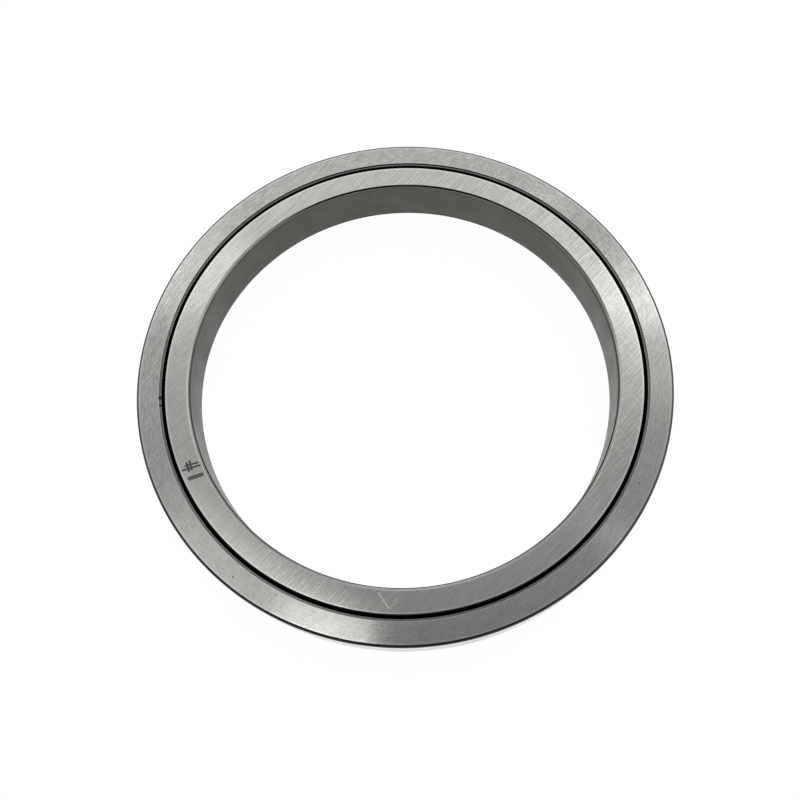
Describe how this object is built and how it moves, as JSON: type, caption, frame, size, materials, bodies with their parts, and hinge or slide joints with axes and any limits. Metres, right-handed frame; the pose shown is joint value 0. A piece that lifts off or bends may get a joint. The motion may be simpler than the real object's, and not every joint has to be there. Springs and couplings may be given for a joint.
{
  "type": "crossed roller bearing",
  "caption": "Thin-section crossed roller bearing: solid inner ring, split outer ring held by clips, and crossed rollers with plastic spacers in square raceways.",
  "frame": {"origin": "centre of the bearing's lower face, on the bore axis", "axes": "+Z along the bore axis, from the lower face to the upper; +X towards the first roller"},
  "size_m": [0.175, 0.175, 0.018],
  "materials": {
    "ring_steel": "ground bearing steel",
    "roller_steel": "lapped bearing steel",
    "clip_spring_steel": "oiled spring steel",
    "spacer_plastic": "moulded polyamide"
  },
  "bodies": {
    "outer_ring": {"outer_ring_upper": "ring_steel", "outer_ring_lower": "ring_steel", "retaining_clip_1": "clip_spring_steel", "retaining_clip_2": "clip_spring_steel", "retaining_clip_3": "clip_spring_steel"},
    "inner_ring": {"inner_ring": "ring_steel"},
    "roller_set": {"spacers": "spacer_plastic"},
    "roller_01": {"roller_01": "roller_steel"},
    "roller_02": {"roller_02": "roller_steel"},
    "roller_03": {"roller_03": "roller_steel"},
    "roller_04": {"roller_04": "roller_steel"},
    "roller_05": {"roller_05": "roller_steel"},
    "roller_06": {"roller_06": "roller_steel"},
    "roller_07": {"roller_07": "roller_steel"},
    "roller_08": {"roller_08": "roller_steel"},
    "roller_09": {"roller_09": "roller_steel"},
    "roller_10": {"roller_10": "roller_steel"},
    "roller_11": {"roller_11": "roller_steel"},
    "roller_12": {"roller_12": "roller_steel"},
    "roller_13": {"roller_13": "roller_steel"},
    "roller_14": {"roller_14": "roller_steel"},
    "roller_15": {"roller_15": "roller_steel"},
    "roller_16": {"roller_16": "roller_steel"},
    "roller_17": {"roller_17": "roller_steel"},
    "roller_18": {"roller_18": "roller_steel"},
    "roller_19": {"roller_19": "roller_steel"},
    "roller_20": {"roller_20": "roller_steel"},
    "roller_21": {"roller_21": "roller_steel"},
    "roller_22": {"roller_22": "roller_steel"},
    "roller_23": {"roller_23": "roller_steel"},
    "roller_24": {"roller_24": "roller_steel"},
    "roller_25": {"roller_25": "roller_steel"},
    "roller_26": {"roller_26": "roller_steel"},
    "roller_27": {"roller_27": "roller_steel"},
    "roller_28": {"roller_28": "roller_steel"},
    "roller_29": {"roller_29": "roller_steel"},
    "roller_30": {"roller_30": "roller_steel"},
    "roller_31": {"roller_31": "roller_steel"},
    "roller_32": {"roller_32": "roller_steel"},
    "roller_33": {"roller_33": "roller_steel"},
    "roller_34": {"roller_34": "roller_steel"},
    "roller_35": {"roller_35": "roller_steel"},
    "roller_36": {"roller_36": "roller_steel"},
    "roller_37": {"roller_37": "roller_steel"},
    "roller_38": {"roller_38": "roller_steel"},
    "roller_39": {"roller_39": "roller_steel"},
    "roller_40": {"roller_40": "roller_steel"},
    "roller_41": {"roller_41": "roller_steel"},
    "roller_42": {"roller_42": "roller_steel"},
    "roller_43": {"roller_43": "roller_steel"},
    "roller_44": {"roller_44": "roller_steel"},
    "roller_45": {"roller_45": "roller_steel"},
    "roller_46": {"roller_46": "roller_steel"},
    "roller_47": {"roller_47": "roller_steel"},
    "roller_48": {"roller_48": "roller_steel"},
    "roller_49": {"roller_49": "roller_steel"},
    "roller_50": {"roller_50": "roller_steel"},
    "roller_51": {"roller_51": "roller_steel"},
    "roller_52": {"roller_52": "roller_steel"}
  },
  "joints": [
    {"name": "inner_ring_spin", "type": "hinge", "parent": "outer_ring", "child": "inner_ring", "pos_m": [0, 0, 0.009], "axis": [0, 0, 1], "continuous": true},
    {"name": "roller_set_orbit", "type": "hinge", "parent": "outer_ring", "child": "roller_set", "pos_m": [0, 0, 0.009], "axis": [0, 0, 1], "continuous": true},
    {"name": "roller_01_spin", "type": "hinge", "parent": "roller_set", "child": "roller_01", "pos_m": [0.07875, 0, 0.009], "axis": [0.7071, 0, 0.7071], "continuous": true},
    {"name": "roller_02_spin", "type": "hinge", "parent": "roller_set", "child": "roller_02", "pos_m": [0.07818, 0.00949, 0.009], "axis": [0.702, 0.0852, -0.7071], "continuous": true},
    {"name": "roller_03_spin", "type": "hinge", "parent": "roller_set", "child": "roller_03", "pos_m": [0.07646, 0.01885, 0.009], "axis": [0.6866, 0.1692, 0.7071], "continuous": true},
    {"name": "roller_04_spin", "type": "hinge", "parent": "roller_set", "child": "roller_04", "pos_m": [0.07363, 0.02793, 0.009], "axis": [0.6612, 0.2507, -0.7071], "continuous": true},
    {"name": "roller_05_spin", "type": "hinge", "parent": "roller_set", "child": "roller_05", "pos_m": [0.06973, 0.0366, 0.009], "axis": [0.6261, 0.3286, 0.7071], "continuous": true},
    {"name": "roller_06_spin", "type": "hinge", "parent": "roller_set", "child": "roller_06", "pos_m": [0.06481, 0.04474, 0.009], "axis": [0.5819, 0.4017, -0.7071], "continuous": true},
    {"name": "roller_07_spin", "type": "hinge", "parent": "roller_set", "child": "roller_07", "pos_m": [0.05895, 0.05222, 0.009], "axis": [0.5293, 0.4689, 0.7071], "continuous": true},
    {"name": "roller_08_spin", "type": "hinge", "parent": "roller_set", "child": "roller_08", "pos_m": [0.05222, 0.05895, 0.009], "axis": [0.4689, 0.5293, -0.7071], "continuous": true},
    {"name": "roller_09_spin", "type": "hinge", "parent": "roller_set", "child": "roller_09", "pos_m": [0.04474, 0.06481, 0.009], "axis": [0.4017, 0.5819, 0.7071], "continuous": true},
    {"name": "roller_10_spin", "type": "hinge", "parent": "roller_set", "child": "roller_10", "pos_m": [0.0366, 0.06973, 0.009], "axis": [0.3286, 0.6261, -0.7071], "continuous": true},
    {"name": "roller_11_spin", "type": "hinge", "parent": "roller_set", "child": "roller_11", "pos_m": [0.02793, 0.07363, 0.009], "axis": [0.2507, 0.6612, 0.7071], "continuous": true},
    {"name": "roller_12_spin", "type": "hinge", "parent": "roller_set", "child": "roller_12", "pos_m": [0.01885, 0.07646, 0.009], "axis": [0.1692, 0.6866, -0.7071], "continuous": true},
    {"name": "roller_13_spin", "type": "hinge", "parent": "roller_set", "child": "roller_13", "pos_m": [0.00949, 0.07818, 0.009], "axis": [0.0852, 0.702, 0.7071], "continuous": true},
    {"name": "roller_14_spin", "type": "hinge", "parent": "roller_set", "child": "roller_14", "pos_m": [0, 0.07875, 0.009], "axis": [0, 0.7071, -0.7071], "continuous": true},
    {"name": "roller_15_spin", "type": "hinge", "parent": "roller_set", "child": "roller_15", "pos_m": [-0.00949, 0.07818, 0.009], "axis": [-0.0852, 0.702, 0.7071], "continuous": true},
    {"name": "roller_16_spin", "type": "hinge", "parent": "roller_set", "child": "roller_16", "pos_m": [-0.01885, 0.07646, 0.009], "axis": [-0.1692, 0.6866, -0.7071], "continuous": true},
    {"name": "roller_17_spin", "type": "hinge", "parent": "roller_set", "child": "roller_17", "pos_m": [-0.02793, 0.07363, 0.009], "axis": [-0.2507, 0.6612, 0.7071], "continuous": true},
    {"name": "roller_18_spin", "type": "hinge", "parent": "roller_set", "child": "roller_18", "pos_m": [-0.0366, 0.06973, 0.009], "axis": [-0.3286, 0.6261, -0.7071], "continuous": true},
    {"name": "roller_19_spin", "type": "hinge", "parent": "roller_set", "child": "roller_19", "pos_m": [-0.04474, 0.06481, 0.009], "axis": [-0.4017, 0.5819, 0.7071], "continuous": true},
    {"name": "roller_20_spin", "type": "hinge", "parent": "roller_set", "child": "roller_20", "pos_m": [-0.05222, 0.05895, 0.009], "axis": [-0.4689, 0.5293, -0.7071], "continuous": true},
    {"name": "roller_21_spin", "type": "hinge", "parent": "roller_set", "child": "roller_21", "pos_m": [-0.05895, 0.05222, 0.009], "axis": [-0.5293, 0.4689, 0.7071], "continuous": true},
    {"name": "roller_22_spin", "type": "hinge", "parent": "roller_set", "child": "roller_22", "pos_m": [-0.06481, 0.04474, 0.009], "axis": [-0.5819, 0.4017, -0.7071], "continuous": true},
    {"name": "roller_23_spin", "type": "hinge", "parent": "roller_set", "child": "roller_23", "pos_m": [-0.06973, 0.0366, 0.009], "axis": [-0.6261, 0.3286, 0.7071], "continuous": true},
    {"name": "roller_24_spin", "type": "hinge", "parent": "roller_set", "child": "roller_24", "pos_m": [-0.07363, 0.02793, 0.009], "axis": [-0.6612, 0.2507, -0.7071], "continuous": true},
    {"name": "roller_25_spin", "type": "hinge", "parent": "roller_set", "child": "roller_25", "pos_m": [-0.07646, 0.01885, 0.009], "axis": [-0.6866, 0.1692, 0.7071], "continuous": true},
    {"name": "roller_26_spin", "type": "hinge", "parent": "roller_set", "child": "roller_26", "pos_m": [-0.07818, 0.00949, 0.009], "axis": [-0.702, 0.0852, -0.7071], "continuous": true},
    {"name": "roller_27_spin", "type": "hinge", "parent": "roller_set", "child": "roller_27", "pos_m": [-0.07875, 0, 0.009], "axis": [-0.7071, 0, 0.7071], "continuous": true},
    {"name": "roller_28_spin", "type": "hinge", "parent": "roller_set", "child": "roller_28", "pos_m": [-0.07818, -0.00949, 0.009], "axis": [-0.702, -0.0852, -0.7071], "continuous": true},
    {"name": "roller_29_spin", "type": "hinge", "parent": "roller_set", "child": "roller_29", "pos_m": [-0.07646, -0.01885, 0.009], "axis": [-0.6866, -0.1692, 0.7071], "continuous": true},
    {"name": "roller_30_spin", "type": "hinge", "parent": "roller_set", "child": "roller_30", "pos_m": [-0.07363, -0.02793, 0.009], "axis": [-0.6612, -0.2507, -0.7071], "continuous": true},
    {"name": "roller_31_spin", "type": "hinge", "parent": "roller_set", "child": "roller_31", "pos_m": [-0.06973, -0.0366, 0.009], "axis": [-0.6261, -0.3286, 0.7071], "continuous": true},
    {"name": "roller_32_spin", "type": "hinge", "parent": "roller_set", "child": "roller_32", "pos_m": [-0.06481, -0.04474, 0.009], "axis": [-0.5819, -0.4017, -0.7071], "continuous": true},
    {"name": "roller_33_spin", "type": "hinge", "parent": "roller_set", "child": "roller_33", "pos_m": [-0.05895, -0.05222, 0.009], "axis": [-0.5293, -0.4689, 0.7071], "continuous": true},
    {"name": "roller_34_spin", "type": "hinge", "parent": "roller_set", "child": "roller_34", "pos_m": [-0.05222, -0.05895, 0.009], "axis": [-0.4689, -0.5293, -0.7071], "continuous": true},
    {"name": "roller_35_spin", "type": "hinge", "parent": "roller_set", "child": "roller_35", "pos_m": [-0.04474, -0.06481, 0.009], "axis": [-0.4017, -0.5819, 0.7071], "continuous": true},
    {"name": "roller_36_spin", "type": "hinge", "parent": "roller_set", "child": "roller_36", "pos_m": [-0.0366, -0.06973, 0.009], "axis": [-0.3286, -0.6261, -0.7071], "continuous": true},
    {"name": "roller_37_spin", "type": "hinge", "parent": "roller_set", "child": "roller_37", "pos_m": [-0.02793, -0.07363, 0.009], "axis": [-0.2507, -0.6612, 0.7071], "continuous": true},
    {"name": "roller_38_spin", "type": "hinge", "parent": "roller_set", "child": "roller_38", "pos_m": [-0.01885, -0.07646, 0.009], "axis": [-0.1692, -0.6866, -0.7071], "continuous": true},
    {"name": "roller_39_spin", "type": "hinge", "parent": "roller_set", "child": "roller_39", "pos_m": [-0.00949, -0.07818, 0.009], "axis": [-0.0852, -0.702, 0.7071], "continuous": true},
    {"name": "roller_40_spin", "type": "hinge", "parent": "roller_set", "child": "roller_40", "pos_m": [0, -0.07875, 0.009], "axis": [0, -0.7071, -0.7071], "continuous": true},
    {"name": "roller_41_spin", "type": "hinge", "parent": "roller_set", "child": "roller_41", "pos_m": [0.00949, -0.07818, 0.009], "axis": [0.0852, -0.702, 0.7071], "continuous": true},
    {"name": "roller_42_spin", "type": "hinge", "parent": "roller_set", "child": "roller_42", "pos_m": [0.01885, -0.07646, 0.009], "axis": [0.1692, -0.6866, -0.7071], "continuous": true},
    {"name": "roller_43_spin", "type": "hinge", "parent": "roller_set", "child": "roller_43", "pos_m": [0.02793, -0.07363, 0.009], "axis": [0.2507, -0.6612, 0.7071], "continuous": true},
    {"name": "roller_44_spin", "type": "hinge", "parent": "roller_set", "child": "roller_44", "pos_m": [0.0366, -0.06973, 0.009], "axis": [0.3286, -0.6261, -0.7071], "continuous": true},
    {"name": "roller_45_spin", "type": "hinge", "parent": "roller_set", "child": "roller_45", "pos_m": [0.04474, -0.06481, 0.009], "axis": [0.4017, -0.5819, 0.7071], "continuous": true},
    {"name": "roller_46_spin", "type": "hinge", "parent": "roller_set", "child": "roller_46", "pos_m": [0.05222, -0.05895, 0.009], "axis": [0.4689, -0.5293, -0.7071], "continuous": true},
    {"name": "roller_47_spin", "type": "hinge", "parent": "roller_set", "child": "roller_47", "pos_m": [0.05895, -0.05222, 0.009], "axis": [0.5293, -0.4689, 0.7071], "continuous": true},
    {"name": "roller_48_spin", "type": "hinge", "parent": "roller_set", "child": "roller_48", "pos_m": [0.06481, -0.04474, 0.009], "axis": [0.5819, -0.4017, -0.7071], "continuous": true},
    {"name": "roller_49_spin", "type": "hinge", "parent": "roller_set", "child": "roller_49", "pos_m": [0.06973, -0.0366, 0.009], "axis": [0.6261, -0.3286, 0.7071], "continuous": true},
    {"name": "roller_50_spin", "type": "hinge", "parent": "roller_set", "child": "roller_50", "pos_m": [0.07363, -0.02793, 0.009], "axis": [0.6612, -0.2507, -0.7071], "continuous": true},
    {"name": "roller_51_spin", "type": "hinge", "parent": "roller_set", "child": "roller_51", "pos_m": [0.07646, -0.01885, 0.009], "axis": [0.6866, -0.1692, 0.7071], "continuous": true},
    {"name": "roller_52_spin", "type": "hinge", "parent": "roller_set", "child": "roller_52", "pos_m": [0.07818, -0.00949, 0.009], "axis": [0.702, -0.0852, -0.7071], "continuous": true}
  ],
  "couplings": [
    {"joint": "roller_set_orbit", "follows": "inner_ring_spin", "ratio": 0.48204},
    {"joint": "roller_01_spin", "follows": "inner_ring_spin", "ratio": -9.8311},
    {"joint": "roller_02_spin", "follows": "inner_ring_spin", "ratio": 9.8311},
    {"joint": "roller_03_spin", "follows": "inner_ring_spin", "ratio": -9.8311},
    {"joint": "roller_04_spin", "follows": "inner_ring_spin", "ratio": 9.8311},
    {"joint": "roller_05_spin", "follows": "inner_ring_spin", "ratio": -9.8311},
    {"joint": "roller_06_spin", "follows": "inner_ring_spin", "ratio": 9.8311},
    {"joint": "roller_07_spin", "follows": "inner_ring_spin", "ratio": -9.8311},
    {"joint": "roller_08_spin", "follows": "inner_ring_spin", "ratio": 9.8311},
    {"joint": "roller_09_spin", "follows": "inner_ring_spin", "ratio": -9.8311},
    {"joint": "roller_10_spin", "follows": "inner_ring_spin", "ratio": 9.8311},
    {"joint": "roller_11_spin", "follows": "inner_ring_spin", "ratio": -9.8311},
    {"joint": "roller_12_spin", "follows": "inner_ring_spin", "ratio": 9.8311},
    {"joint": "roller_13_spin", "follows": "inner_ring_spin", "ratio": -9.8311},
    {"joint": "roller_14_spin", "follows": "inner_ring_spin", "ratio": 9.8311},
    {"joint": "roller_15_spin", "follows": "inner_ring_spin", "ratio": -9.8311},
    {"joint": "roller_16_spin", "follows": "inner_ring_spin", "ratio": 9.8311},
    {"joint": "roller_17_spin", "follows": "inner_ring_spin", "ratio": -9.8311},
    {"joint": "roller_18_spin", "follows": "inner_ring_spin", "ratio": 9.8311},
    {"joint": "roller_19_spin", "follows": "inner_ring_spin", "ratio": -9.8311},
    {"joint": "roller_20_spin", "follows": "inner_ring_spin", "ratio": 9.8311},
    {"joint": "roller_21_spin", "follows": "inner_ring_spin", "ratio": -9.8311},
    {"joint": "roller_22_spin", "follows": "inner_ring_spin", "ratio": 9.8311},
    {"joint": "roller_23_spin", "follows": "inner_ring_spin", "ratio": -9.8311},
    {"joint": "roller_24_spin", "follows": "inner_ring_spin", "ratio": 9.8311},
    {"joint": "roller_25_spin", "follows": "inner_ring_spin", "ratio": -9.8311},
    {"joint": "roller_26_spin", "follows": "inner_ring_spin", "ratio": 9.8311},
    {"joint": "roller_27_spin", "follows": "inner_ring_spin", "ratio": -9.8311},
    {"joint": "roller_28_spin", "follows": "inner_ring_spin", "ratio": 9.8311},
    {"joint": "roller_29_spin", "follows": "inner_ring_spin", "ratio": -9.8311},
    {"joint": "roller_30_spin", "follows": "inner_ring_spin", "ratio": 9.8311},
    {"joint": "roller_31_spin", "follows": "inner_ring_spin", "ratio": -9.8311},
    {"joint": "roller_32_spin", "follows": "inner_ring_spin", "ratio": 9.8311},
    {"joint": "roller_33_spin", "follows": "inner_ring_spin", "ratio": -9.8311},
    {"joint": "roller_34_spin", "follows": "inner_ring_spin", "ratio": 9.8311},
    {"joint": "roller_35_spin", "follows": "inner_ring_spin", "ratio": -9.8311},
    {"joint": "roller_36_spin", "follows": "inner_ring_spin", "ratio": 9.8311},
    {"joint": "roller_37_spin", "follows": "inner_ring_spin", "ratio": -9.8311},
    {"joint": "roller_38_spin", "follows": "inner_ring_spin", "ratio": 9.8311},
    {"joint": "roller_39_spin", "follows": "inner_ring_spin", "ratio": -9.8311},
    {"joint": "roller_40_spin", "follows": "inner_ring_spin", "ratio": 9.8311},
    {"joint": "roller_41_spin", "follows": "inner_ring_spin", "ratio": -9.8311},
    {"joint": "roller_42_spin", "follows": "inner_ring_spin", "ratio": 9.8311},
    {"joint": "roller_43_spin", "follows": "inner_ring_spin", "ratio": -9.8311},
    {"joint": "roller_44_spin", "follows": "inner_ring_spin", "ratio": 9.8311},
    {"joint": "roller_45_spin", "follows": "inner_ring_spin", "ratio": -9.8311},
    {"joint": "roller_46_spin", "follows": "inner_ring_spin", "ratio": 9.8311},
    {"joint": "roller_47_spin", "follows": "inner_ring_spin", "ratio": -9.8311},
    {"joint": "roller_48_spin", "follows": "inner_ring_spin", "ratio": 9.8311},
    {"joint": "roller_49_spin", "follows": "inner_ring_spin", "ratio": -9.8311},
    {"joint": "roller_50_spin", "follows": "inner_ring_spin", "ratio": 9.8311},
    {"joint": "roller_51_spin", "follows": "inner_ring_spin", "ratio": -9.8311},
    {"joint": "roller_52_spin", "follows": "inner_ring_spin", "ratio": 9.8311}
  ]
}
